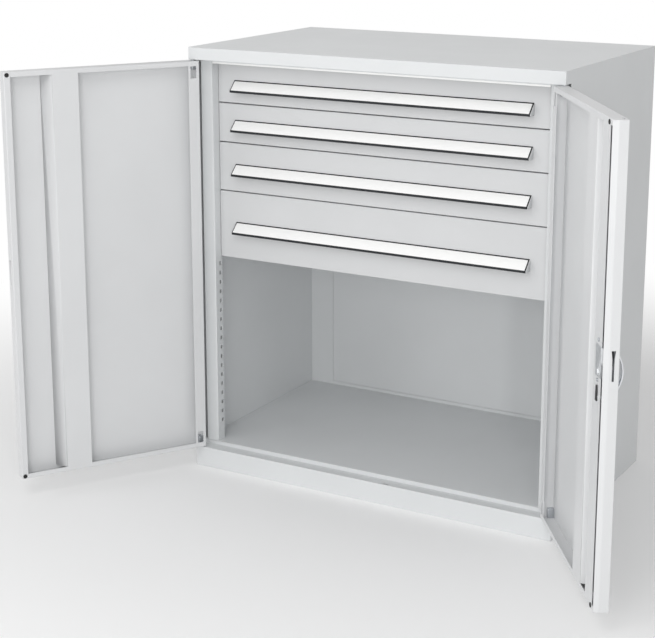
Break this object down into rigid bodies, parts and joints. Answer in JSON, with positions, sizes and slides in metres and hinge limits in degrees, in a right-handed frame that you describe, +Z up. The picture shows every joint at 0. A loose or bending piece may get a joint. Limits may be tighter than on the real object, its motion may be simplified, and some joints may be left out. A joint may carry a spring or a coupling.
{
  "type": "tool cabinet with doors",
  "caption": "Floor-standing sheet-steel tool cabinet: hinged double doors with a bolt lock, sliding drawers above and an open compartment below.",
  "frame": {"origin": "on the floor under the middle of the carcass, at the face of the support rail under the floor plate", "axes": "+X to the right seen from the front, +Y to the back, +Z up"},
  "size_m": [1.5419, 1.0176, 1.1],
  "materials": {
    "cast_zinc": "die-cast zinc, satin",
    "chrome": "polished",
    "door": "light grey powder coat, semi-matt",
    "front": "light grey powder coat, semi-matt",
    "galvanised": "galvanised sheet steel",
    "grip": "dark anodised, matt",
    "guide": "black nylon",
    "label": "white label under a clear cover",
    "rubber": "black, matt",
    "shell": "light grey powder coat, semi-matt",
    "tray": "light grey powder coat",
    "zinc": "zinc-plated steel"
  },
  "bodies": {
    "cabinet": {"top_panel": "shell", "left_side": "shell", "right_side": "shell", "back_panel": "shell", "floor_plate": "shell", "front_plinth": "shell", "rear_plinth": "shell", "floor_stiffener": "shell", "left_front_post": "shell", "right_front_post": "shell", "left_slide_carrier": "galvanised", "right_slide_carrier": "galvanised", "hinge_pins": "zinc", "cabinet_slides": "galvanised"},
    "left_door": {"left_door_panel": "door", "left_door_channel": "door", "left_door_hinge_blocks": "zinc", "left_door_buffers": "rubber"},
    "right_door": {"right_door_panel": "door", "right_door_channel": "door", "right_door_hinge_blocks": "zinc", "right_door_buffers": "rubber", "lock_stile": "door", "lock_case": "cast_zinc", "lock_screws": "zinc", "handle_rosette": "chrome", "key_housing": "chrome", "bolt_guides": "guide"},
    "handle": {"handle_bow": "chrome", "lock_tongue": "zinc"},
    "key_cylinder": {"lock_cylinder": "cast_zinc"},
    "upper_bolt": {"upper_bolt": "zinc"},
    "lower_bolt": {"lower_bolt": "zinc"},
    "drawer_1": {"drawer_1_front": "front", "drawer_1_tray": "tray", "drawer_1_grip": "grip", "drawer_1_label": "label", "drawer_1_rails": "galvanised"},
    "drawer_1_middle": {"drawer_1_middle_rails": "galvanised"},
    "drawer_2": {"drawer_2_front": "front", "drawer_2_tray": "tray", "drawer_2_grip": "grip", "drawer_2_label": "label", "drawer_2_rails": "galvanised"},
    "drawer_2_middle": {"drawer_2_middle_rails": "galvanised"},
    "drawer_3": {"drawer_3_front": "front", "drawer_3_tray": "tray", "drawer_3_grip": "grip", "drawer_3_label": "label", "drawer_3_rails": "galvanised"},
    "drawer_3_middle": {"drawer_3_middle_rails": "galvanised"},
    "drawer_4": {"drawer_4_front": "front", "drawer_4_tray": "tray", "drawer_4_grip": "grip", "drawer_4_label": "label", "drawer_4_rails": "galvanised"},
    "drawer_4_middle": {"drawer_4_middle_rails": "galvanised"}
  },
  "joints": [
    {"name": "left_door_hinge", "type": "hinge", "parent": "cabinet", "child": "left_door", "pos_m": [-0.492, -0.29, 0.055], "axis": [0, 0, -1], "range_deg": [-122, 8]},
    {"name": "right_door_hinge", "type": "hinge", "parent": "cabinet", "child": "right_door", "pos_m": [0.492, -0.29, 0.055], "axis": [0, 0, 1], "range_deg": [-125, 5]},
    {"name": "handle_turn", "type": "hinge", "parent": "right_door", "child": "handle", "pos_m": [0.75945, -0.65452, 0.558], "axis": [-0.8192, -0.5736, 0], "range_deg": [-90, 0]},
    {"name": "key_turn", "type": "hinge", "parent": "right_door", "child": "key_cylinder", "pos_m": [0.75945, -0.65452, 0.503], "axis": [-0.8192, -0.5736, 0], "range_deg": [0, 90]},
    {"name": "upper_bolt_slide", "type": "slide", "parent": "right_door", "child": "upper_bolt", "axis": [0, 0, -1], "range_m": [-0.01979, 0]},
    {"name": "lower_bolt_slide", "type": "slide", "parent": "right_door", "child": "lower_bolt", "axis": [0, 0, 1], "range_m": [-0.0198, 0]},
    {"name": "drawer_1_slide", "type": "slide", "parent": "cabinet", "child": "drawer_1", "axis": [0, -1, 0], "range_m": [0, 0.46]},
    {"name": "drawer_1_middle_slide", "type": "slide", "parent": "cabinet", "child": "drawer_1_middle", "axis": [0, -1, 0], "range_m": [0, 0.23]},
    {"name": "drawer_2_slide", "type": "slide", "parent": "cabinet", "child": "drawer_2", "axis": [0, -1, 0], "range_m": [0, 0.46]},
    {"name": "drawer_2_middle_slide", "type": "slide", "parent": "cabinet", "child": "drawer_2_middle", "axis": [0, -1, 0], "range_m": [0, 0.23]},
    {"name": "drawer_3_slide", "type": "slide", "parent": "cabinet", "child": "drawer_3", "axis": [0, -1, 0], "range_m": [0, 0.46]},
    {"name": "drawer_3_middle_slide", "type": "slide", "parent": "cabinet", "child": "drawer_3_middle", "axis": [0, -1, 0], "range_m": [0, 0.23]},
    {"name": "drawer_4_slide", "type": "slide", "parent": "cabinet", "child": "drawer_4", "axis": [0, -1, 0], "range_m": [0, 0.46]},
    {"name": "drawer_4_middle_slide", "type": "slide", "parent": "cabinet", "child": "drawer_4_middle", "axis": [0, -1, 0], "range_m": [0, 0.23]}
  ],
  "couplings": [
    {"joint": "handle_turn", "follows": "upper_bolt_slide", "rad_per_m": 79.365},
    {"joint": "lower_bolt_slide", "follows": "upper_bolt_slide", "ratio": 1},
    {"joint": "drawer_1_middle_slide", "follows": "drawer_1_slide", "ratio": 0.5},
    {"joint": "drawer_2_middle_slide", "follows": "drawer_2_slide", "ratio": 0.5},
    {"joint": "drawer_3_middle_slide", "follows": "drawer_3_slide", "ratio": 0.5},
    {"joint": "drawer_4_middle_slide", "follows": "drawer_4_slide", "ratio": 0.5}
  ]
}
